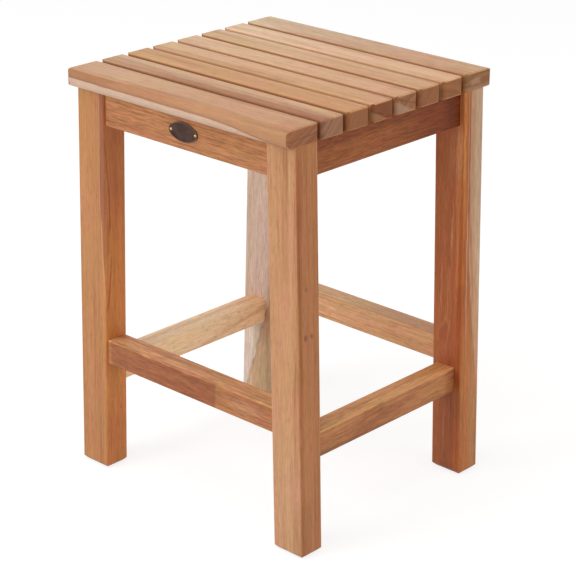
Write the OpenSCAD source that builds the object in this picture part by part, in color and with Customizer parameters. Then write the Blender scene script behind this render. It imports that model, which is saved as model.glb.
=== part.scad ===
// Square teak stool for a shower or bathroom.
// Eight slats lie on a frame of four splayed legs, four aprons and four stretchers.
// The front of the stool faces -Y, the floor is z = 0, sizes are in millimetres.

/* [Seat] */
// height of the seat top above the floor
seat_h = 457; // [380:1:520]
// slat length, left to right
seat_w = 314; // [290:1:420]
// seat depth, front to back
seat_d = 309; // [290:1:400]
// slat thickness
slat_t = 20; // [17:0.5:26]
// width of the front slat and of the back slat
edge_slat_w = 42.5; // [36:0.5:50]
// drainage gap between two slats
slat_gap = 5; // [4.6:0.1:8]
// rounding along the front and back edges of the seat
nose_r = 7.5; // [2:0.5:9]
// rounding along the top edges that face a gap
slat_r = 3.5; // [1:0.5:5]
// rounding above and below the slat ends
end_r = 3; // [0.5:0.25:4]
// rounding of the slat corners, seen from above
corner_r = 5; // [0.5:0.25:6]

/* [Legs] */
// leg size, left to right
leg_w = 40; // [38:0.5:50]
// leg size, front to back
leg_d = 30.5; // [27.5:0.5:40]
// outward lean of the legs, in degrees
splay = 1.6; // [0:0.1:4]
// how far the slat ends pass the leg tops
side_overhang = 2; // [0:0.5:15]
// how far the seat passes the front legs
front_overhang = 12.5; // [2:0.5:16]
// how far the seat passes the back legs
back_overhang = 9.5; // [2:0.5:16]
// rounding of the long edges of a leg
leg_r = 2.5; // [0.5:0.25:5]
// chamfer around the foot of a leg
foot_ease = 4; // [0.5:0.25:5]

/* [Aprons and stretchers] */
// height of the aprons
apron_h = 37.5; // [34:0.5:60]
// height of the stretchers
stretcher_h = 28.5; // [24:0.5:40]
// thickness of every apron and stretcher
rail_t = 25; // [18:0.5:25]
// bottom of the left and right stretchers above the floor
side_stretcher_z = 98.5; // [60:0.5:120]
// bottom of the front and back stretchers above the floor
cross_stretcher_z = 128; // [128:0.5:220]
// set-back of the front and back rails from the leg faces
cross_set = 3; // [0:0.25:3]
// set-back of the left and right aprons from the leg faces
side_apron_set = 7.25; // [4:0.25:8]
// set-back of the left and right stretchers from the leg faces
side_stretcher_set = 9.5; // [4:0.25:11]
// rounding of the long edges of a rail
rail_r = 2; // [0.5:0.25:4]

/* [Joints] */
// thickness of a tenon
tenon_t = 10; // [6:0.5:12]
// step from the edge of a rail to its tenon
shoulder = 6; // [3:0.5:8]
// tenon length of the front and back rails
cross_tenon = 13; // [6:0.5:14]
// tenon length of the left and right rails
side_tenon = 18; // [8:0.5:22]

/* [Cleats and screws] */
// width of a cleat
cleat_w = 20; // [16:0.5:26]
// height of a cleat
cleat_h = 22; // [16:0.5:30]
// screw shank diameter
screw_d = 4; // [3:0.25:5]
// screw head diameter
head_d = 7.5; // [6:0.25:9]
// screw head height
head_h = 2.6; // [2:0.1:4]
// how far the screws reach up into a slat
slat_bite = 12; // [8:0.5:14]
// how far the cleat screws reach into an apron
apron_bite = 14; // [8:0.5:18]
// depth of the screw heads inside the cleats, from below
cleat_sink = 6; // [4:0.5:8]
// depth of the screw heads inside the front and back aprons, from below
apron_sink = 14; // [6:0.5:20]
// depth of the screw heads in the sides of the cleats
cleat_side_sink = 4; // [3:0.5:6]
// distance of the apron screws from the middle of the stool
apron_screw_x = 70; // [40:1:90]

/* [Badge] */
// height of the badge centre above the floor
badge_z = 418.5; // [414:0.5:424]
// thickness of the badge plate
badge_t = 1.2; // [0.8:0.1:2]
// width of its raised rim
badge_rim = 1.2; // [0.8:0.1:2]
// depth of the field inside the rim
badge_field = 0.4; // [0.2:0.1:0.6]
// distance between the two badge pins
pin_pitch = 34.4; // [32:0.1:34.4]
// pin shank diameter
pin_d = 1.4; // [1:0.1:1.6]
// pin head diameter
pin_head_d = 3.4; // [2.8:0.1:3.8]
// length of a pin inside the apron
pin_l = 9; // [6:0.5:14]

/* [Hidden] */
$fn = 72;
slats = 8;
under = seat_h - slat_t;
inner_slat_w = (seat_d - 2 * edge_slat_w - (slats - 1) * slat_gap) / (slats - 2);
low_r = 1; // rounding under a slat, where it faces a gap
leg_x = seat_w / 2 - side_overhang;
front_y = -seat_d / 2 + front_overhang;
back_y = seat_d / 2 - back_overhang;
span_y0 = front_y + leg_d;
span_y1 = back_y - leg_d;
span = span_y1 - span_y0;
front_rail_y = front_y + cross_set + rail_t / 2;
back_rail_y = back_y - cross_set - rail_t / 2;
apron_z = under - apron_h;
apron_r = [rail_r, rail_r, 0.5, 0.5];
stretcher_r = [rail_r, rail_r, rail_r, rail_r];
cleat_r = [1, 1, 1, 1];
cleat_x = side_apron_set + rail_t;
cleat_end_gap = 0.5;
screw_x = leg_x - cleat_x - cleat_w / 2 + 0.5;
cleat_screw_z = -13;
cleat_screw_step = 2 * (inner_slat_w + slat_gap);
slat_screw_l = cleat_h - cleat_sink + slat_bite;
apron_screw_l = apron_h - apron_sink + slat_bite;
cleat_screw_l = cleat_w - cleat_side_sink + apron_bite;
screw_point = 4;
head_edge = 1;
recess_w = 0.9;
recess_l = 4;
recess_h = 1.3;
fit = 0.1;
past = 1; // how far a cut runs past the face it cuts
trim = 5; // extra height that the underside of the seat cuts off
// the badge outline: two large arcs joined by two small ones, meeting at badge_join
badge_half_w = 20.1;
badge_half_h = 10.2;
badge_small_r = 6.2;
badge_big_r = ((badge_half_w - badge_small_r) ^ 2 + badge_half_h ^ 2 - badge_small_r ^ 2)
    / (2 * (badge_half_h - badge_small_r));
badge_join = (badge_half_w - badge_small_r) * badge_big_r / (badge_big_r - badge_small_r);

leg_teak = [0.70, 0.47, 0.30];
rail_teak = [0.62, 0.40, 0.26];
slat_teak = [0.80, 0.62, 0.46];
bronze = [0.13, 0.11, 0.09];
brass = [0.72, 0.55, 0.27];
steel = [0.66, 0.67, 0.68];

// inner face of a leg at height z, measured from the middle of the stool
function inner_x(z) = leg_x - leg_w / cos(splay) + (under - z) * tan(splay);
// height z above the floor, counted down the lean of a leg
function down(z) = (z - under + leg_w / 2 * sin(splay)) / cos(splay);
function slat_w(i) = i == 0 || i == slats - 1 ? edge_slat_w : inner_slat_w;
function slat_y(i) = i == 0 ? -seat_d / 2
    : -seat_d / 2 + edge_slat_w + slat_gap + (i - 1) * (inner_slat_w + slat_gap);

// ---- shared shapes ----

module corner_cut(r) {
    difference() {
        translate([-1, -1]) square(r + 1);
        translate([r, r]) circle(r);
    }
}

// rectangle whose corners are rounded one by one, from the lower left round to the upper left
module eased_rect(w, h, r) {
    difference() {
        square([w, h]);
        corner_cut(r[0]);
        translate([w, 0]) rotate(90) corner_cut(r[1]);
        translate([w, h]) rotate(180) corner_cut(r[2]);
        translate([0, h]) rotate(270) corner_cut(r[3]);
    }
}

// bar along X: its section stands in Y and Z
module bar_x(length, w, h, r) {
    rotate([90, 0, 90]) linear_extrude(length) eased_rect(w, h, r);
}

// bar along Y: its section stands in X and Z
module bar_y(length, w, h, r) {
    translate([0, length, 0]) rotate([90, 0, 0]) linear_extrude(length) eased_rect(w, h, r);
}

// leaning frame of one side: x = 0 is the outer face of the legs, z = 0 their top
module side_frame(side) {
    mirror([side < 0 ? 1 : 0, 0, 0])
        translate([leg_x, 0, under]) rotate([0, -splay, 0]) children();
}

// everything between the floor and the underside of the slats
module below_seat() {
    translate([-seat_w, -seat_d, 0]) cube([2 * seat_w, 2 * seat_d, under]);
}

// ---- rails ----

module cross_outline(z0, z1, extra) {
    rotate([90, 0, 0]) linear_extrude(seat_d, center = true)
        polygon([[-inner_x(z0) - extra, z0], [inner_x(z0) + extra, z0],
                 [inner_x(z1) + extra, z1], [-inner_x(z1) - extra, z1]]);
}

// tenons of a front or back rail whose middle plane is at y
module cross_tenons(y, z, h) {
    intersection() {
        cross_outline(z + shoulder, z + h - shoulder, cross_tenon);
        translate([-seat_w, y - tenon_t / 2, z]) cube([2 * seat_w, tenon_t, h]);
    }
}

module cross_rail(y, z, h, r) {
    intersection() {
        translate([-seat_w, y - rail_t / 2, z]) bar_x(2 * seat_w, rail_t, h, r);
        cross_outline(z, z + h, 0);
    }
    cross_tenons(y, z, h);
}

module side_tenons(set, z, h) {
    translate([-set - rail_t / 2 - tenon_t / 2, span_y0 - side_tenon, down(z) + shoulder])
        cube([tenon_t, span + 2 * side_tenon, h - 2 * shoulder]);
}

module side_rail(set, z, h, r) {
    translate([-set - rail_t, span_y0, down(z)]) bar_y(span, rail_t, h, r);
    side_tenons(set, z, h);
}

// ---- legs ----

module foot_cut(y) {
    outer = leg_x + under * tan(splay);
    inner = outer - leg_w / cos(splay);
    side = foot_ease * sqrt(2);
    for (x = [inner, outer])
        translate([x, y + leg_d / 2, 0]) rotate([0, 45, 0])
            cube([side, leg_d + 2 * past, side], center = true);
    for (edge = [y, y + leg_d])
        translate([(inner + outer) / 2, edge, 0]) rotate([45, 0, 0])
            cube([leg_w + 2 * past, side, side], center = true);
}

module leg(side, y, rail_y) {
    color(leg_teak) difference() {
        intersection() {
            side_frame(side) translate([-leg_w, y, -seat_h]) linear_extrude(seat_h + trim)
                eased_rect(leg_w, leg_d, [leg_r, leg_r, leg_r, leg_r]);
            below_seat();
        }
        mirror([side < 0 ? 1 : 0, 0, 0]) foot_cut(y);
        cross_tenons(rail_y, apron_z, apron_h);
        cross_tenons(rail_y, cross_stretcher_z, stretcher_h);
        side_frame(side) side_tenons(side_apron_set, apron_z, apron_h);
        side_frame(side) side_tenons(side_stretcher_set, side_stretcher_z, stretcher_h);
    }
}

module leg_front_left() leg(-1, front_y, front_rail_y);
module leg_front_right() leg(1, front_y, front_rail_y);
module leg_back_left() leg(-1, back_y - leg_d, back_rail_y);
module leg_back_right() leg(1, back_y - leg_d, back_rail_y);

// ---- screws and cleats ----

// screw along +Z: its head bears on z = 0 and its point is at z = length
module screw(length) {
    difference() {
        rotate_extrude()
            polygon([[0, -head_h], [head_d / 2 - head_edge, -head_h], [head_d / 2, -head_h + head_edge],
                     [head_d / 2, 0], [screw_d / 2, 0], [screw_d / 2, length - screw_point],
                     [0.4, length], [0, length]]);
        for (turn = [0, 90])
            rotate(turn) translate([-recess_l / 2, -recess_w / 2, -head_h - past])
                cube([recess_l, recess_w, recess_h + past]);
    }
}

// room for that screw and, below its head, for the driver
module screw_hole(length, sink) {
    translate([0, 0, -sink - past]) cylinder(r = head_d / 2 + 0.4, h = sink + past);
    translate([0, 0, -past]) cylinder(r = screw_d / 2 + fit, h = length + 2 * past);
}

// screws up through the cleats, two for each inner slat
module at_slat_screws() {
    for (i = [1 : slats - 2])
        for (x = [-screw_x, screw_x])
            translate([x, slat_y(i) + inner_slat_w / 2, under - cleat_h + cleat_sink]) children();
}

// screws up through the front and back aprons, two for each edge slat
module at_apron_screws() {
    for (y = [front_rail_y, back_rail_y])
        for (x = [-apron_screw_x, apron_screw_x])
            translate([x, y, apron_z + apron_sink]) children();
}

// screws out through the cleat of one side into its apron, each between two slat screws
module at_cleat_screws(side) {
    for (k = [-1 : 1])
        side_frame(side)
            translate([-cleat_x - cleat_w + cleat_side_sink, k * cleat_screw_step, cleat_screw_z])
                rotate([0, 90, 0]) children();
}

module slat_screws() {
    color(steel) at_slat_screws() screw(slat_screw_l);
}

module apron_screws() {
    color(steel) at_apron_screws() screw(apron_screw_l);
}

module cleat_screws() {
    color(steel) for (side = [-1, 1]) at_cleat_screws(side) screw(cleat_screw_l);
}

module cleat(side) {
    color(rail_teak) difference() {
        intersection() {
            side_frame(side) translate([-cleat_x - cleat_w, span_y0 + cleat_end_gap, -cleat_h])
                bar_y(span - 2 * cleat_end_gap, cleat_w, cleat_h + trim, cleat_r);
            below_seat();
        }
        at_slat_screws() screw_hole(slat_screw_l, cleat_h);
        at_cleat_screws(side) screw_hole(cleat_screw_l, cleat_w);
    }
}

module cleat_left() cleat(-1);
module cleat_right() cleat(1);

// ---- aprons and stretchers ----

module badge_frame() {
    translate([0, front_y + cross_set, badge_z]) rotate([90, 0, 0]) children();
}

module at_pins() {
    for (x = [-pin_pitch / 2, pin_pitch / 2]) translate([x, 0, 0]) children();
}

module pin_hole() {
    translate([0, 0, -pin_l - past]) cylinder(r = pin_d / 2 + fit, h = pin_l + badge_t + 2 * past);
}

module apron_front() {
    color(rail_teak) difference() {
        cross_rail(front_rail_y, apron_z, apron_h, apron_r);
        at_apron_screws() screw_hole(apron_screw_l, apron_sink);
        badge_frame() at_pins() pin_hole();
    }
}

module apron_back() {
    color(rail_teak) difference() {
        cross_rail(back_rail_y, apron_z, apron_h, apron_r);
        at_apron_screws() screw_hole(apron_screw_l, apron_sink);
    }
}

module side_apron(side) {
    color(rail_teak) difference() {
        intersection() {
            side_frame(side) union() {
                side_rail(side_apron_set, apron_z, apron_h, apron_r);
                translate([-side_apron_set - rail_t, span_y0, -trim]) cube([rail_t, span, 2 * trim]);
            }
            below_seat();
        }
        at_cleat_screws(side) screw_hole(cleat_screw_l, cleat_w);
    }
}

module apron_left() side_apron(-1);
module apron_right() side_apron(1);

module stretcher_front() {
    color(rail_teak) cross_rail(front_rail_y, cross_stretcher_z, stretcher_h, stretcher_r);
}

module stretcher_back() {
    color(rail_teak) cross_rail(back_rail_y, cross_stretcher_z, stretcher_h, stretcher_r);
}

module stretcher_left() {
    color(rail_teak) side_frame(-1) side_rail(side_stretcher_set, side_stretcher_z, stretcher_h, stretcher_r);
}

module stretcher_right() {
    color(rail_teak) side_frame(1) side_rail(side_stretcher_set, side_stretcher_z, stretcher_h, stretcher_r);
}

// ---- seat ----

module slat(i) {
    w = slat_w(i);
    front_r = i == 0 ? nose_r : slat_r;
    back_r = i == slats - 1 ? nose_r : slat_r;
    front_low_r = i == 0 ? nose_r : low_r;
    back_low_r = i == slats - 1 ? nose_r : low_r;
    ends = [end_r, end_r, end_r, end_r];
    corners = [corner_r, corner_r, corner_r, corner_r];
    color(slat_teak) difference() {
        translate([-seat_w / 2, slat_y(i), under]) intersection() {
            bar_x(seat_w, w, slat_t, [front_low_r, back_low_r, back_r, front_r]);
            bar_y(w, seat_w, slat_t, ends);
            linear_extrude(slat_t) eased_rect(seat_w, w, corners);
        }
        at_slat_screws() screw_hole(slat_screw_l, 1);
        at_apron_screws() screw_hole(apron_screw_l, 1);
    }
}

module slat_1() slat(0);
module slat_2() slat(1);
module slat_3() slat(2);
module slat_4() slat(3);
module slat_5() slat(4);
module slat_6() slat(5);
module slat_7() slat(6);
module slat_8() slat(7);

// ---- badge ----

// oval of four arcs, drawn in by the amount given
module oval(inset) {
    intersection() {
        translate([0, badge_half_h - badge_big_r]) circle(badge_big_r - inset);
        translate([0, badge_big_r - badge_half_h]) circle(badge_big_r - inset);
        square([2 * badge_join, 4 * badge_half_h], center = true);
    }
    for (x = [badge_small_r - badge_half_w, badge_half_w - badge_small_r])
        translate([x, 0]) circle(badge_small_r - inset);
}

module badge_plate() {
    color(bronze) badge_frame() difference() {
        linear_extrude(badge_t) oval(0);
        translate([0, 0, badge_t - badge_field]) linear_extrude(past) oval(badge_rim);
        at_pins() pin_hole();
    }
}

module badge_pins() {
    head_r = pin_head_d / 2;
    seat_z = badge_t - badge_field;
    color(brass) badge_frame() at_pins() {
        translate([0, 0, -pin_l]) cylinder(r = pin_d / 2, h = pin_l + badge_t);
        translate([0, 0, seat_z]) intersection() {
            translate([0, 0, -head_r / 2]) sphere(r = head_r * 1.1);
            cylinder(r = head_r, h = head_r);
        }
    }
}

leg_front_left();
leg_front_right();
leg_back_left();
leg_back_right();
apron_front();
apron_back();
apron_left();
apron_right();
stretcher_front();
stretcher_back();
stretcher_left();
stretcher_right();
slat_1();
slat_2();
slat_3();
slat_4();
slat_5();
slat_6();
slat_7();
slat_8();
cleat_left();
cleat_right();
slat_screws();
apron_screws();
cleat_screws();
badge_plate();
badge_pins();
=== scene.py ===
import bpy
import math
from mathutils import Matrix, Vector


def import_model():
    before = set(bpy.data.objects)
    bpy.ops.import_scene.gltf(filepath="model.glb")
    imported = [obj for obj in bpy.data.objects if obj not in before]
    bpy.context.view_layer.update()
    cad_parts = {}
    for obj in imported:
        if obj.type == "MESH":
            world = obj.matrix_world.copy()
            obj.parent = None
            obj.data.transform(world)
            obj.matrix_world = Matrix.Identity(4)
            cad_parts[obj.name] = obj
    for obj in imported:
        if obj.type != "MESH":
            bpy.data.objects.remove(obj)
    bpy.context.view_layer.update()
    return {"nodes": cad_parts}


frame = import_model()
print("stool loaded:", len(frame["nodes"]), "pieces of the frame")

perMetre = (1000, 1000, 1000)  # millimetres in a metre along each axis

# where the boards of the stool lie, in millimetres, so that the grain of each can follow it
lean = math.radians(1.6)  # outward lean of the legs and of what they carry
seatUnder = 437.0  # the height of the slats' undersides and of the tops of the legs
slatLength, slatThickness = 314.0, 20.0
legTop = 155.0  # from the middle of the stool to a leg's outer face, at the underside of the slats
legWidth, legDepth = 40.0, 30.5
railLength, railThickness = 400.0, 25.0  # longer than any rail, so that none shows end grain
apronHeight, stretcherHeight, cleatHeight = 37.5, 28.5, 22.0
# the boards' middles: up from the floor (across the stool and at its sides), then from front to back
apronAt, crossAt, sideAt, cleatAt = 418.25, 142.25, 112.75, 426.0
frontLegs, backLegs = -126.75, 129.75
frontRails, backRails, sideMiddle = -126.5, 129.5, 1.5
apronSetBack, stretcherSetBack, cleatSetBack = 7.25, 9.5, 32.25  # inward from the legs' outer faces


class Field:
    # a number that changes over a surface; sums written with it become Math nodes
    def __init__(self, paint, socket):
        self.paint = paint
        self.socket = socket

    def __add__(self, other):
        return self.paint.maths("ADD", self, other)

    def __radd__(self, other):
        return self.paint.maths("ADD", other, self)

    def __sub__(self, other):
        return self.paint.maths("SUBTRACT", self, other)

    def __rsub__(self, other):
        return self.paint.maths("SUBTRACT", other, self)

    def __mul__(self, other):
        return self.paint.maths("MULTIPLY", self, other)

    def __rmul__(self, other):
        return self.paint.maths("MULTIPLY", other, self)

    def __truediv__(self, other):
        return self.paint.maths("DIVIDE", self, other)


class Paint:
    # the nodes of one material or of the air, and the few ways in which they are added
    def __init__(self, owner):
        owner.use_nodes = True
        self.owner = owner
        self.tree = owner.node_tree
        self.tree.nodes.clear()

    def node(self, kind, settings=None, inputs=None):
        made = self.tree.nodes.new(kind)
        for key, value in (settings or {}).items():
            setattr(made, key, value)
        for key, value in (inputs or {}).items():
            if isinstance(value, Field):
                value = value.socket
            if isinstance(value, bpy.types.NodeSocket):
                self.tree.links.new(value, made.inputs[key])
            else:
                made.inputs[key].default_value = value
        return made

    def maths(self, operation, *values):
        made = self.node("ShaderNodeMath", {"operation": operation}, dict(enumerate(values)))
        return Field(self, made.outputs[0])

    def vector(self, operation, *values):
        made = self.node("ShaderNodeVectorMath", {"operation": operation}, dict(enumerate(values)))
        return made.outputs

    def smooth(self, value, low, high):
        # 0 below low, 1 above high, rounded at both ends
        made = self.node("ShaderNodeMapRange", {"interpolation_type": "SMOOTHSTEP"},
                         {"Value": value, "From Min": low, "From Max": high})
        return Field(self, made.outputs[0])

    def mix(self, amount, first, second, how="MIX"):
        first, second = [(*c, 1) if isinstance(c, tuple) else c for c in (first, second)]
        made = self.node("ShaderNodeMix", {"data_type": "RGBA", "blend_type": how},
                         {0: amount, 6: first, 7: second})
        return made.outputs[2]

    def stretched(self, vector, scale):
        return self.node("ShaderNodeMapping", None, {"Vector": vector, "Scale": scale}).outputs[0]

    def noise(self, vector, detail=3.0, rough=0.5):
        made = self.node("ShaderNodeTexNoise", None,
                         {"Vector": vector, "Scale": 1.0, "Detail": detail, "Roughness": rough})
        return Field(self, made.outputs[0])

    def noiseAlong(self, number, detail=2.0, rough=0.5):
        made = self.node("ShaderNodeTexNoise", {"noise_dimensions": "1D"},
                         {"W": number, "Scale": 1.0, "Detail": detail, "Roughness": rough})
        return Field(self, made.outputs[0])

    def drawn(self, number):
        # one random number for each whole number
        made = self.node("ShaderNodeTexWhiteNoise", {"noise_dimensions": "1D"}, {"W": number})
        return Field(self, made.outputs[0])

    def split(self, vector):
        made = self.node("ShaderNodeSeparateXYZ", None, {0: vector})
        return [Field(self, out) for out in made.outputs]

    def finish(self, colour, roughness, bump, bumpDepth, **fixed):
        relief = self.node("ShaderNodeBump", None, {
            "Height": bump, "Distance": bumpDepth, "Strength": 1.0})
        shader = self.node("ShaderNodeBsdfPrincipled", None, {
            "Base Color": colour, "Roughness": roughness, "Normal": relief.outputs[0], **fixed})
        self.node("ShaderNodeOutputMaterial", None, {0: shader.outputs[0]})
        return self.owner


# how teak looks; each colour here but that of the pores multiplies "wood", which is a board's own colour
grainLook = {
    "dark": (0.72, 0.58, 0.48),
    "pale": (1.18, 1.27, 1.36),
    "olive": (0.975, 1.015, 0.93),
    "blush": (1.025, 0.965, 1.03),
    "growth": 0.6,
    "broad": 0.8,
    "streak": 0.5,
    "late": 0.22,
    "cloud": 0.3,
    "pores": 0.25,
    "flecks": 0.25,
    "fibre": 0.2,
    "dash": 0.45,
    "drift": 14.0,  # millimetres that the growth rings wander in and out
    "ripple": 3.0,
    "pore": (0.20, 0.08, 0.03),
    "endDark": (0.46, 0.32, 0.26),
    "endPale": (0.72, 0.56, 0.47),
    "endRim": (0.66, 0.50, 0.42),
    "endFigure": 1.0,
    "endTint": (1, 1, 1),
    "corner": 0.0,  # millimetres by which the end grain reaches round a clipped corner
    # how strongly, and to what colour, the faces in the seat's gaps are darkened: painted shade with some
    # sawn wood
    "gapShade": 0.9,
    "shadedGapFace": (0.40, 0.25, 0.14),
    "footShade": 0.7,
    "edgeWearAndHighlight": 0.12,
    "arris": 2.0,  # millimetres of wear and painted highlight beside an edge
    "sheen": 0.42,
    "specular": 0.35,
    "bumpDepth": 0.00014,  # metres
}

# how often each pattern of the wood changes in a millimetre up the grain, across it and through it,
# then the detail and the roughness of its noise
patterns = {
    "drift": ((0.006, 0.02, 0.02), 2.0, 0.5),
    "ripple": ((0.025, 0.09, 0.09), 2.0, 0.5),
    "broad": ((0.004, 0.08, 0.08), 3.0, 0.5),
    "streak": ((0.012, 0.5, 0.5), 4.0, 0.62),
    "fibre": ((0.05, 2.4, 2.4), 3.0, 0.65),
    "pores": ((0.10, 1.5, 1.5), 1.0, 0.5),
    "cloud": ((0.012, 0.03, 0.03), 3.0, 0.5),
    "blush": ((0.02, 0.07, 0.07), 2.0, 0.5),
    "flecks": ((0.05, 0.25, 0.25), 3.0, 0.6),
    "dash": ((0.07, 0.75, 0.75), 2.0, 0.6),
    "dots": ((0.3, 1.5, 1.5), 2.0, 0.5),
    "wave": ((0.03, 0.12, 0.12), 3.0, 0.5),
}


def tinted(colour, by):
    return tuple(c * b for c, b in zip(colour, by))


def onBoard(paint, grain, centre, side):
    # millimetres on the board: x runs up the grain, y across it, z through it
    c, s = math.cos(lean), side * math.sin(lean)
    up, out = Vector((-s, 0, c)), Vector((c, 0, s))
    along = Vector((0, 1, 0))
    rows = {"across": (Vector((1, 0, 0)), along, Vector((0, 0, 1))),
            "back": (along, -out, up), "up": (up, out, along)}[grain]
    turn = Matrix(rows)
    where = paint.node("ShaderNodeTexCoord").outputs["Object"]
    local = paint.node("ShaderNodeMapping", None, {
        "Vector": where, "Scale": perMetre, "Rotation": turn.to_euler("XYZ"),
        "Location": -(turn @ Vector(centre))})
    return where, local.outputs[0]


def insideMark(paint, mark, wavy, streak):
    # 1 inside a mark's planes or round its point, 0 outside
    inside = None
    for normal, offset, soft in mark["within"]:
        reach = Field(paint, paint.vector("DOT_PRODUCT", wavy, normal)["Value"])
        edge = paint.smooth(reach, offset - soft, offset + soft)
        inside = edge if inside is None else inside * edge
    if "at" in mark:
        near = paint.vector("DISTANCE", paint.vector("MULTIPLY", wavy, mark["squeeze"])[0],
                            tinted(mark["at"], mark["squeeze"]))["Value"]
        inside = 1 - paint.smooth(Field(paint, near), mark["size"] * mark["core"], mark["size"])
    if "through" in mark:
        inside = inside * paint.smooth(streak, *mark["through"])
    return inside


def teak(name, board):
    # uneven growth rings round a pith line, streaks and pores along the grain, end grain, worn edges, marks
    paint = Paint(bpy.data.materials.new("teak_" + name))
    look = {**grainLook, **board}
    where, local = onBoard(paint, look["grain"], look["centre"], look.get("side", 0))
    x, y, z = paint.split(local)
    seed = look["seed"]
    shift = tuple(seed * step for step in (371.0, 97.0, 53.0))  # a part of the pattern for each board alone
    seeded = paint.vector("ADD", local, shift)[0]

    def pattern(name):
        scale, detail, rough = patterns[name]
        return paint.noise(paint.stretched(seeded, scale), detail, rough)

    # distance from the pith, drawn in and out as a trunk is, counted in rings of unequal width
    drift = pattern("drift") - 0.5
    ripple = pattern("ripple") - 0.5
    fromY, fromZ = y - look["pith"][0], z - look["pith"][1]
    radius = paint.maths("SQRT", fromY * fromY + fromZ * fromZ)
    radius = radius + drift * look["drift"] + ripple * look["ripple"]
    even = radius / look["ring"]
    count = even + (paint.noiseAlong(even * 0.43 + seed * 9.1, 1.0) - 0.5) * 2.4
    whole = paint.maths("FLOOR", count)
    part = count - whole
    strength = paint.drawn(whole + seed * 17)
    strength = strength * strength
    late = paint.smooth(part, 0.25, 0.9) * (1 - paint.smooth(part, 0.93, 1.0)) * strength
    growth = paint.noiseAlong(even * 0.62 + seed * 3.7, 3.0, 0.55)

    # the long faces
    streak, fibre, cloud = pattern("streak"), pattern("fibre"), pattern("cloud")
    pores = paint.smooth(pattern("pores"), 0.62, 0.76)
    tone = 0.5 + (growth - 0.5) * look["growth"] + (pattern("broad") - 0.5) * look["broad"]
    tone = tone + (streak - 0.5) * look["streak"] - late * look["late"] + (cloud - 0.5) * look["cloud"]
    dark, pale = tinted(look["wood"], look["dark"]), tinted(look["wood"], look["pale"])
    colour = paint.mix(paint.smooth(tone, 0.05, 0.56), dark, look["wood"])
    colour = paint.mix(paint.smooth(tone, 0.5, 0.98), colour, pale)
    tint = paint.mix(paint.smooth(pattern("blush"), 0.32, 0.68), look["olive"], look["blush"])
    colour = paint.mix(1.0, colour, tint, "MULTIPLY")
    colour = paint.mix(pores * look["pores"], colour, look["pore"])
    colour = paint.mix(paint.smooth(pattern("flecks"), 0.56, 0.70) * look["flecks"], colour, dark)

    # the face turned to the right and the one on top, where a board is redder or paler there: painted light
    # and shade for how the lamps reach those faces, with some of the board's own tone on a right face
    length, width, depth = (size / 2 for size in look["size"])
    for key, reach, half in (("rightFace", y, width), ("topFace", z, depth)):
        if key in look:
            colour = paint.mix(paint.smooth(reach, half - 2.2, half - 0.6), colour, look[key], "MULTIPLY")

    # marks that only this board has, in millimetres of the stool
    mm = paint.stretched(where, perMetre)
    threeNoises = pattern("wave").socket.node.outputs["Color"]
    wave = paint.vector("SUBTRACT", threeNoises, (0.5, 0.5, 0.5))[0]

    def marked(colour, marks):
        for mark in marks:
            warp = (mark["wavy"] * 2,) * 3
            wavy = paint.vector("MULTIPLY_ADD", wave, warp, mm)[0]
            inside = insideMark(paint, mark, wavy, streak)
            colour = paint.mix(inside * mark["amount"], colour, mark["colour"], mark["how"])
        return colour

    colour = marked(colour, look.get("marks", []))

    # fibre and short dashes along the grain lighten and darken everything a little
    shade = 1 + (fibre - 0.5) * look["fibre"] + (pattern("dash") - 0.5) * look["dash"]
    grey = paint.node("ShaderNodeCombineColor", None, {0: shade, 1: shade, 2: shade}).outputs[0]
    colour = paint.mix(1.0, colour, grey, "MULTIPLY")

    # end grain: fine rings and pores on a darker ground, inside a sanded rim
    outX = paint.maths("ABSOLUTE", x)
    gapY = width - paint.maths("ABSOLUTE", y)
    gapZ = depth - paint.maths("ABSOLUTE", z)
    nearSide = paint.maths("MINIMUM", width - y, gapZ)
    clipped = look["corner"] * (1 - paint.smooth(gapY, 0.3, 3.5))
    ends = paint.smooth(outX + clipped, length - 0.9, length - 0.2)
    inner = paint.smooth(nearSide + (ripple + fibre - 0.5) * 1.2, 1.0, 2.4)
    dots = paint.smooth(pattern("dots"), 0.5, 0.7)
    fine = paint.noiseAlong(even * 2.3 + seed, 3.0, 0.6)
    endTone = (fine - 0.5) * 0.9 + (growth - 0.5) * 1.3 - late * 0.35
    endTone = endTone * look["endFigure"] + (dots - 0.5) * -0.25 + 0.45
    endDark, endPale, endRim = [tinted(tinted(look["wood"], look[key]), look["endTint"])
                                for key in ("endDark", "endPale", "endRim")]
    endColour = paint.mix(paint.smooth(endTone, 0.1, 0.9), endDark, endPale)
    endColour = marked(endColour, look.get("endMarks", []))
    endColour = paint.mix(inner, endRim, endColour)
    colour = paint.mix(ends, colour, endColour)

    # the eased edge round a foot is dark: floor dirt and a painted contact shadow
    if look["grain"] == "up":
        footEdge = paint.smooth(-1 * x, length - 3.6, length - 1.6)
        colour = paint.mix(footEdge * look["footShade"], colour, tinted(look["wood"], look["endDark"]))

    # faces inside a gap of the seat, and the rounding into it, are darker: rough from the saw, and painted
    # shade where little light gets in
    for side in look.get("gapSides", []):
        shadedGapFace = paint.smooth(y * side, width - 1.6, width - 0.3) * (1 - ends)
        colour = paint.mix(shadedGapFace * look["gapShade"], colour, tinted(look["wood"], look["shadedGapFace"]))

    # worn arrises: paler from wear, and a painted highlight along the edges
    arris = 1 - paint.smooth(paint.maths("MAXIMUM", gapY, gapZ), 0.3, look["arris"])
    arris = arris * paint.smooth(cloud, 0.3, 0.6)
    colour = paint.mix(arris * look["edgeWearAndHighlight"], colour, pale)

    roughness = look["sheen"] + streak * 0.12 + ends * 0.2 - arris * 0.06
    relief = fibre * 0.55 - pores * 0.8 - late * 0.2
    return paint.finish(colour, roughness, relief, look["bumpDepth"],
                        **{"IOR": 1.47, "Specular IOR Level": look["specular"]})


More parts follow.
